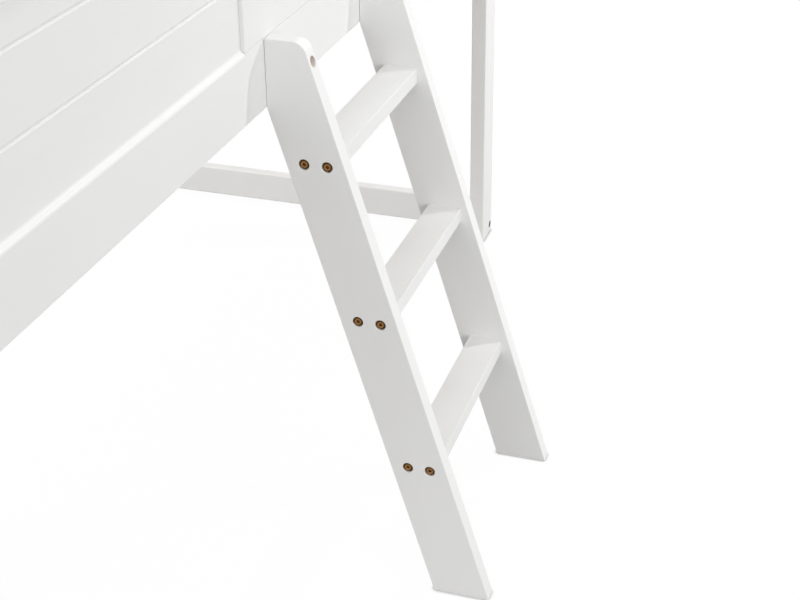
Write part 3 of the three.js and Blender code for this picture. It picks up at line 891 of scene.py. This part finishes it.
def lacquered(direction):
    """The lacquer on wood whose fibres run in one direction."""
    scene = bpy.context.scene
    lean = -scene.loft_bed_boards.ladder_angle
    turn = {"X": (0, QUARTER, 0), "Y": (-QUARTER, 0, 0), "Z": (0, 0, 0), "ladder": (lean, 0, 0)}[direction]
    return material_once(f"lacquer_on_wood_{direction}", lacquer_inputs, scene.loft_bed_finish, turn)


def lacquer_inputs(tree, finish, turn):
    """White satin lacquer.

    Long thin noise gives the fibres that stand through the lacquer, fine round noise the sprayed skin, and
    wide soft noise the slight change of tone and gloss along a board.
    """
    fibres = grain(tree, (0.9, 0.9, 60), 3.0, 0.6, turn)
    skin = grain(tree, (2.2, 2.2, 2.6), 1.0, turn=turn)
    tone = grain(tree, (45, 45, 420), turn=turn)
    height = math_node(tree, "MULTIPLY_ADD", fibres, 0.75, math_node(tree, "MULTIPLY", skin, 0.25))
    gloss = finish.lacquer_gloss
    return {
        "Base Color": mixed(tree, ranged(tree, tone, 0.42, 0.72, 0, 1), finish.lacquer, finish.lacquer_thin),
        "Roughness": ranged(tree, tone, 0.3, 0.7, gloss - 0.04, gloss + 0.04),
        "Normal": relief(tree, height, finish.grain_relief),
    }


def pine_inputs(tree, finish):
    """Bare pine along Y.

    Each slat has the growth rings of its own trunk: its number picks where the pith lies under it, and the
    rings are the distance from the pith, bent by soft noise and by the knots, counted in ring widths. A ring
    darkens slowly and ends sharply. Knots are the cells of a coarse Voronoi pattern close to their middles.

    The pith lies up to 50 mm to either side and 25 to 75 mm below, the noise bends the rings by up to 18 mm,
    and the knots, which swell them by 10 mm, are about 250 mm apart.
    """
    first, second = (centre_of(slat) for slat in SLATS[:2])
    pitch = second[0] - first[0]
    start = add_node(tree, "TexCoord", {}).outputs["Object"]
    x, y, z = add_node(tree, "SeparateXYZ", {0: start}).outputs
    pitches = math_node(tree, "DIVIDE", math_node(tree, "SUBTRACT", x, first[0]), pitch)
    count = math_node(tree, "ROUND", pitches)
    chance = add_node(tree, "TexWhiteNoise", {"W": count}, noise_dimensions="1D").outputs["Color"]
    middle = math_node(tree, "MULTIPLY_ADD", count, pitch, first[0])
    aside, above = math_node(tree, "SUBTRACT", x, middle), math_node(tree, "SUBTRACT", z, first[2])
    local = add_node(tree, "CombineXYZ", {0: aside, 1: y, 2: above}).outputs[0]
    pith = vector_node(tree, "MULTIPLY_ADD", chance, (0.10, 3.0, 0.05), (-0.05, 0, -0.075))
    from_pith = vector_node(tree, "SUBTRACT", local, pith)
    bend = noise(tree, vector_node(tree, "MULTIPLY", from_pith, (14, 2.2, 14)))[1]
    bent = vector_node(tree, "MULTIPLY_ADD", bend, (0.018, 0, 0.018), from_pith)
    flat = vector_node(tree, "MULTIPLY", bent, (1, 0, 1))
    distance = add_node(tree, "VectorMath", {0: flat}, operation="LENGTH").outputs["Value"]
    knot_space = vector_node(tree, "MULTIPLY", from_pith, (4, 4, 0))
    knots = add_node(tree, "TexVoronoi", {"Vector": knot_space, "Scale": 1.0}).outputs["Distance"]
    swell = ranged(tree, knots, 0.0, 0.16, 0.010, 0.0)
    rings = math_node(tree, "DIVIDE", math_node(tree, "ADD", distance, swell), finish.ring_width)
    ring = math_node(tree, "FRACT", rings)
    rise, fall = ranged(tree, ring, 0.35, 0.9, 0, 1), ranged(tree, ring, 0.9, 1.0, 1, 0)
    late = math_node(tree, "MULTIPLY", rise, fall)
    fibres = grain(tree, (0.8, 0.8, 30), 3.0, turn=(-QUARTER, 0, 0))
    wood = mixed(tree, late, finish.pine_light, finish.pine_dark)
    streaked = mixed(tree, ranged(tree, fibres, 0.35, 0.75, 0, 0.35), wood, finish.pine_dark)
    return {
        "Base Color": mixed(tree, ranged(tree, knots, 0.025, 0.045, 1, 0), streaked, finish.pine_knot),
        "Roughness": ranged(tree, late, 0, 1, 0.62, 0.5),
        "Normal": relief(tree, math_node(tree, "MULTIPLY_ADD", late, 0.5, fibres), 0.06 * MM),
    }


def mottled(tree, texture, between, tint, shade, depth, **others):
    """Shader inputs: a tint that a pattern shades between two of its levels, and the pattern's relief."""
    factor = ranged(tree, texture, *between, 0, 1) if between else texture
    darker = tuple(shade * channel for channel in tint)
    colour_between = mixed(tree, factor, tint, darker)
    return {"Base Color": colour_between, "Normal": relief(tree, texture, depth * MM), **others}


def bored_inputs(tree, tint):
    """The wall of a drilled hole: short torn fibres."""
    fibres = grain(tree, (0.7, 0.7, 2.5), 4.0, 0.7)
    return mottled(tree, fibres, (0.35, 0.65), tint, 0.8, 0.2, Roughness=0.85)


def bronze_inputs(tree, tint, roughness):
    """Bronzed steel: fine mottling in its colour, its gloss and its surface."""
    mottle = grain(tree, (0.8, 0.8, 0.8), 4.0, 0.65)
    gloss = ranged(tree, mottle, 0.3, 0.7, roughness - 0.06, roughness + 0.1)
    return mottled(tree, mottle, (0.4, 0.68), tint, 0.62, 0.015, Metallic=1.0, Roughness=gloss)


def plastic_inputs(tree, tint):
    """White moulded plastic with a very fine spark texture."""
    grit = grain(tree, (0.35, 0.35, 0.35))
    return mottled(tree, grit, None, tint, 0.96, 0.012, Roughness=ranged(tree, grit, 0.3, 0.7, 0.42, 0.52))


def bored_wood(name):
    """The wall of a drilled hole, in the colour of that name."""
    return material_once(name, bored_inputs, getattr(bpy.context.scene.loft_bed_finish, name))


def metal_pair():
    """The bronze of a fixing's outside, and the darker, rougher one of its recess and a bolt head's round
    edge, which is partly oxide and partly painted shade.
    """
    finish = bpy.context.scene.loft_bed_finish
    gloss, rougher = finish.bronze_gloss, 0.12
    return [
        material_once("bronze", bronze_inputs, finish.bronze, gloss),
        material_once("bronze_in_the_socket", bronze_inputs, finish.bronze_oxide_and_shade, gloss + rougher),
    ]


def seen_directly(tree):
    """One for rays that show the surroundings as such: to the camera, in gloss and through glass."""
    rays = add_node(tree, "LightPath", {}).outputs
    seen = math_node(tree, "MAXIMUM", rays["Is Camera Ray"], rays["Is Glossy Ray"])
    return math_node(tree, "MAXIMUM", seen, rays["Is Transmission Ray"])


def floor_material(studio):
    """A matt pale floor. To the camera and in gloss it is white, with a share of its real shading left in it.

    Close to a foot it darkens with how much of the room the foot hides there.
    """
    material = bpy.data.materials.new("pale_floor")
    material.use_nodes = True
    tree = material.node_tree
    tree.nodes.remove(tree.nodes["Principled BSDF"])
    matt = add_node(tree, "BsdfDiffuse", {"Color": opaque(studio.floor)}).outputs[0]
    bright = add_node(tree, "BsdfDiffuse", {"Color": (0.98, 0.98, 0.98, 1.0)}).outputs[0]
    openness = add_node(tree, "AmbientOcclusion", {"Distance": studio.contact}).outputs["AO"]
    level = ranged(tree, openness, 0.45, 0.95, 1 - studio.contact_shade, 1)
    white = add_node(tree, "Emission", {"Color": WHITE, "Strength": level}).outputs[0]
    shown = add_node(tree, "MixShader", {0: studio.floor_shadow, 1: white, 2: bright}).outputs[0]
    both = add_node(tree, "MixShader", {0: seen_directly(tree), 1: matt, 2: shown}).outputs[0]
    feed(tree, tree.nodes["Material Output"], {"Surface": both})
    return material


def add_world(studio):
    """White to the camera and in reflections, and an even light of the sky level otherwise."""
    world = bpy.data.worlds.new("studio_sky")
    bpy.context.scene.world = world
    world.use_nodes = True
    tree = world.node_tree
    level = math_node(tree, "MULTIPLY_ADD", seen_directly(tree), 1 - studio.sky_level, studio.sky_level)
    feed(tree, tree.nodes["Background"], {"Color": WHITE, "Strength": level})


def add_lamp(name, kind, where, aim, watts):
    """A lamp that points at the aim."""
    lamp = bpy.data.lights.new(name, kind)
    lamp.energy = watts
    made = linked(name, lamp)
    made.location = where
    made.rotation_euler = (Vector(aim) - Vector(where)).to_track_quat("-Z", "Y").to_euler()
    return lamp


class LOFTBED_OT_legs(bpy.types.Operator):
    """Adds the four legs, with their bolt holes and cap recesses"""
    bl_idname = "loft_bed.legs"
    bl_label = "Legs"

    def execute(self, context):
        sizes = context.scene.loft_bed_boards
        for row, hand in product(ROWS, HANDS):
            add_plain_board(f"{row}_{hand}_leg", "Z", sizes.leg_edge, sizes.leg_end)
        return {"FINISHED"}


class LOFTBED_OT_rails(bpy.types.Operator):
    """Adds the side rails, the end rails and the floor rails"""
    bl_idname = "loft_bed.rails"
    bl_label = "Rails"

    def execute(self, context):
        sizes = context.scene.loft_bed_boards
        for row in ROWS:
            add_board(f"{row}_rail", [grooved_rail(sizes, row, f"{row}_rail", True)], lacquered("X"))
        for hand in HANDS:
            end = f"{hand}_end_rail"
            add_board(end, [grooved_rail(sizes, hand, end, True)], lacquered("Y"))
            add_plain_board(f"{hand}_floor_rail", "Y", sizes.rail_edge, sizes.sawn_end)
        return {"FINISHED"}


class LOFTBED_OT_guard(bpy.types.Operator):
    """Adds the grooved guard panels and the top rails over them"""
    bl_idname = "loft_bed.guard"
    bl_label = "Guard panels and top rails"

    def execute(self, context):
        sizes = context.scene.loft_bed_boards
        for field, side in FIELDS.items():
            wood = lacquered(RAIL_AXIS[side])
            add_board(f"{field}_panel", [grooved_panel(sizes, side, f"{field}_panel")], wood)
            add_board(f"{field}_top_rail", [grooved_rail(sizes, side, f"{field}_top_rail", False)], wood)
        return {"FINISHED"}


class LOFTBED_OT_entry(bpy.types.Operator):
    """Adds the entry board with its dip, and the two battens that hold it to the guard"""
    bl_idname = "loft_bed.entry"
    bl_label = "Entry board and battens"

    def execute(self, context):
        sizes = context.scene.loft_bed_boards
        add_board("entry_board", entry_shells(sizes), lacquered("X"))
        for hand in HANDS:
            add_plain_board(f"entry_{hand}_batten", "Z", sizes.batten_edge, sizes.sawn_end)
        return {"FINISHED"}


class LOFTBED_OT_slats(bpy.types.Operator):
    """Adds the two ledgers and the twelve pine slats on them"""
    bl_idname = "loft_bed.slats"
    bl_label = "Ledgers and slats"

    def execute(self, context):
        sizes = context.scene.loft_bed_boards
        for row in ROWS:
            add_plain_board(f"{row}_ledger", "X", sizes.batten_edge, sizes.sawn_end)
        pine = material_once("pine_slats", pine_inputs, context.scene.loft_bed_finish)
        for node in SLATS:
            add_board(node, [plain_shell(node, "Y", sizes.slat_edge, sizes.sawn_end)], pine)
        return {"FINISHED"}


class LOFTBED_OT_ladder(bpy.types.Operator):
    """Adds the two slanted stringers and the three treads between them"""
    bl_idname = "loft_bed.ladder"
    bl_label = "Ladder"

    def execute(self, context):
        sizes = context.scene.loft_bed_boards
        for hand in HANDS:
            node = f"{hand}_stringer"
            add_board(node, [stringer_shell(sizes, node)], lacquered("ladder"))
        reach = edge_of("right_stringer", "left") - edge_of("tread_1", "right")
        for number in TREADS:
            add_plain_board(f"tread_{number}", "X", sizes.tread_edge, sizes.tread_end, reach)
        return {"FINISHED"}


class LOFTBED_OT_bolts(bpy.types.Operator):
    """Adds the bronze bolts of the ladder and the legs"""
    bl_idname = "loft_bed.bolts"
    bl_label = "Bolts"

    def execute(self, context):
        sizes = context.scene.loft_bed_fixings
        for bolt in ladder_bolts(sizes) + leg_bolts(sizes):
            piece = new_object(f"{bolt.name}_finished", [bolt_form(sizes, bolt)], metal_pair())
            finish_piece(piece, [bolt.name] if bolt.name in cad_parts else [])
        return {"FINISHED"}


class LOFTBED_OT_caps(bpy.types.Operator):
    """Adds the white caps on the legs' outer faces"""
    bl_idname = "loft_bed.caps"
    bl_label = "Caps"

    def execute(self, context):
        sizes = context.scene.loft_bed_fixings
        plastic = material_once("white_plastic", plastic_inputs, context.scene.loft_bed_finish.cap)
        for cap in leg_caps(sizes):
            finish_piece(new_object(cap.name, [cap_form(sizes, cap)], [plastic]))
        return {"FINISHED"}


class LOFTBED_OT_nuts_and_screws(bpy.types.Operator):
    """Adds the barrel nuts in the rails, and the screws of slats, ledgers and battens"""
    bl_idname = "loft_bed.nuts_and_screws"
    bl_label = "Barrel nuts and screws"

    def execute(self, context):
        sizes = context.scene.loft_bed_fixings
        groups = {
            "barrel_nuts": (nut_form, barrel_nuts), "slat_screws": (screw_form, slat_screws),
            "joint_screws": (screw_form, joint_screws),
        }
        for name, (form, fixings) in groups.items():
            forms = [form(sizes, fixing) for fixing in fixings(sizes)]
            finish_piece(new_object(name, forms, metal_pair()))
        return {"FINISHED"}


class LOFTBED_OT_studio(bpy.types.Operator):
    """Adds the floor, the world, the lamps and the camera at the photograph's angle"""
    bl_idname = "loft_bed.studio"
    bl_label = "Studio"

    def execute(self, context):
        scene = context.scene
        studio = scene.loft_bed_studio
        half = studio.floor_size / 2
        mesh = bpy.data.meshes.new("floor")
        corners = [(-half, -half, 0), (half, -half, 0), (half, half, 0), (-half, half, 0)]
        mesh.from_pydata(corners, [], [(0, 1, 2, 3)])
        mesh.materials.append(floor_material(studio))
        linked("floor", mesh)
        add_world(studio)

        # A bare point lamp of 4 pi^2 r^2 watts, a facing panel of pi^2 r^2 or a far light of pi lights a matt
        # surface at level 1
        reach = (Vector(studio.key) - Vector(studio.aim)).length
        key = add_lamp("key", "POINT", studio.key, studio.aim, studio.key_level * 4 * (math.pi * reach) ** 2)
        key.shadow_soft_size = studio.key_size
        for panel in ("overhead", "fill"):
            where = getattr(studio, panel)
            reach = (Vector(where) - Vector(studio.aim)).length
            level = getattr(studio, f"{panel}_level")
            soft = add_lamp(panel, "AREA", where, studio.aim, level * (math.pi * reach) ** 2)
            soft.size = getattr(studio, f"{panel}_size")
        for side in ("front_left", "left", "back_left", "back", "right"):
            strength = math.pi * getattr(studio, f"{side}_level")
            far = add_lamp(side, "SUN", getattr(studio, side), (0, 0, 0), strength)
            far.angle = studio.light_width

        camera = bpy.data.cameras.new("photograph")
        camera.lens = studio.camera_lens
        camera.shift_x, camera.shift_y = studio.camera_shift
        seat = linked("photograph", camera)
        turn = Matrix.Rotation(studio.camera_yaw - QUARTER, 4, "Z")
        turn = turn @ Matrix.Rotation(QUARTER - studio.camera_pitch, 4, "X")
        turn = turn @ Matrix.Rotation(studio.camera_roll, 4, "Z")
        seat.matrix_world = Matrix.Translation(studio.camera) @ turn
        scene.camera = seat
        scene.view_settings.view_transform = "Standard"
        return {"FINISHED"}


class LOFTBED_PT_panel(bpy.types.Panel):
    """Lists the operators and their settings in the sidebar"""
    bl_idname = "LOFTBED_PT_panel"
    bl_label = "Loft bed"
    bl_space_type = "VIEW_3D"
    bl_region_type = "UI"
    bl_category = "Loft bed"

    def draw(self, context):
        for operator in OPERATORS:
            self.layout.operator(operator.bl_idname)
        for name, group in GROUPS.items():
            box = self.layout.box()
            box.label(text=group.__name__)
            for key in group.__annotations__:
                box.prop(getattr(context.scene, name), key)


GROUPS = {
    "loft_bed_boards": LoftBedBoards,
    "loft_bed_fixings": LoftBedFixings,
    "loft_bed_finish": LoftBedFinish,
    "loft_bed_studio": LoftBedStudio,
}
OPERATORS = (
    LOFTBED_OT_legs, LOFTBED_OT_rails, LOFTBED_OT_guard, LOFTBED_OT_entry, LOFTBED_OT_slats,
    LOFTBED_OT_ladder, LOFTBED_OT_bolts, LOFTBED_OT_caps, LOFTBED_OT_nuts_and_screws, LOFTBED_OT_studio,
)


def register():
    """Registers the settings, the operators and the panel."""
    for name, group in GROUPS.items():
        bpy.utils.register_class(group)
        setattr(bpy.types.Scene, name, bpy.props.PointerProperty(type=group))
    for each in (*OPERATORS, LOFTBED_PT_panel):
        bpy.utils.register_class(each)


def unregister():
    """Takes away what register added."""
    for each in (LOFTBED_PT_panel, *reversed(OPERATORS)):
        bpy.utils.unregister_class(each)
    for name, group in GROUPS.items():
        delattr(bpy.types.Scene, name)
        bpy.utils.unregister_class(group)


def main():
    """Makes the bed and its studio."""
    register()
    bpy.ops.loft_bed.legs()
    bpy.ops.loft_bed.rails()
    bpy.ops.loft_bed.guard()
    bpy.ops.loft_bed.entry()
    bpy.ops.loft_bed.slats()
    bpy.ops.loft_bed.ladder()
    bpy.ops.loft_bed.bolts()
    bpy.ops.loft_bed.caps()
    bpy.ops.loft_bed.nuts_and_screws()
    bpy.ops.loft_bed.studio()


if __name__ == "__main__":
    main()
